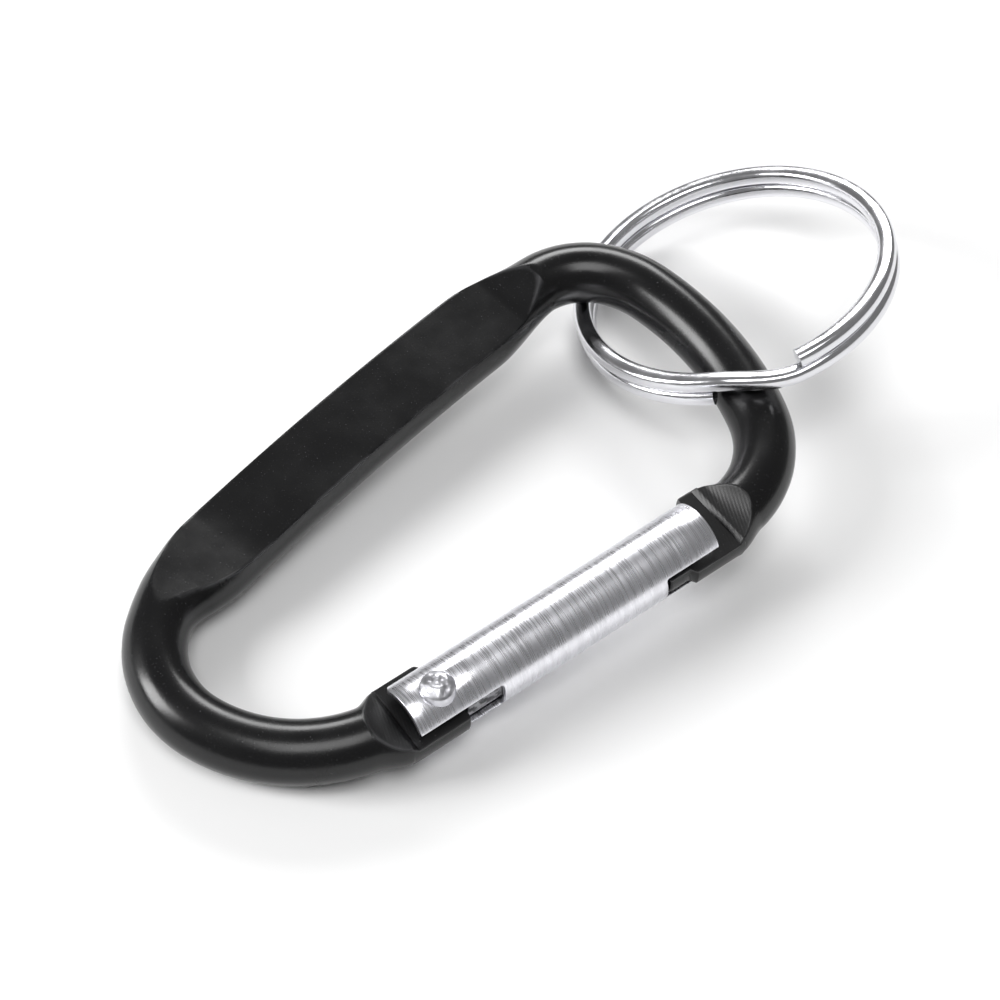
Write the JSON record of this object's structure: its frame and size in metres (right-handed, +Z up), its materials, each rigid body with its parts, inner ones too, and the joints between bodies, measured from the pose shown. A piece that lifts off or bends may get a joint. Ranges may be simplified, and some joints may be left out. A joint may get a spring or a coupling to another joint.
{
  "type": "carabiner keyring",
  "caption": "Small accessory carabiner with a bent black rod frame, a sprung tube gate on a rivet and a split key ring hanging on its wide end.",
  "frame": {"origin": "middle of the overall box in plan, at the lowest point of the split ring", "axes": "+X from the hinge of the gate to its nose and on to the split ring, +Y from the gate to the spine, +Z up out of the frame's flat side"},
  "size_m": [0.091, 0.0406, 0.0151],
  "materials": {
    "anodised_black": "satin black anodised over a pressed and milled rod",
    "gate_aluminium": "plain drawn tube with fine scratches round it",
    "rivet_aluminium": "hammered domed heads",
    "spring_steel": "drawn wire",
    "plunger_steel": "dull grey",
    "ring_nickel": "nickel plated, polished"
  },
  "bodies": {
    "frame": {"frame": "anodised_black"},
    "gate": {"gate_tube": "gate_aluminium", "pivot_rivet": "rivet_aluminium", "gate_spring": "spring_steel"},
    "plunger": {"spring_plunger": "plunger_steel"},
    "ring": {"split_ring": "ring_nickel"}
  },
  "joints": [
    {"name": "gate_swing", "type": "hinge", "parent": "frame", "child": "gate", "pos_m": [-0.02361, -0.01695, 0.00727], "axis": [0, 0, 1], "range_deg": [0, 28], "stiffness_Nm_per_rad": 0.02, "springref_deg": -85.94},
    {"name": "plunger_slide", "type": "slide", "parent": "gate", "child": "plunger", "axis": [1, 0, 0], "range_m": [0, 0.00098], "deforming": ["gate_spring"]},
    {"name": "ring_swing", "type": "hinge", "parent": "frame", "child": "ring", "pos_m": [0.02069, 0.00295, 0.00727], "axis": [0, -1, 0], "range_deg": [-1, 85]}
  ],
  "couplings": [
    {"joint": "plunger_slide", "follows": "gate_swing", "m_per_rad": 0.002}
  ]
}
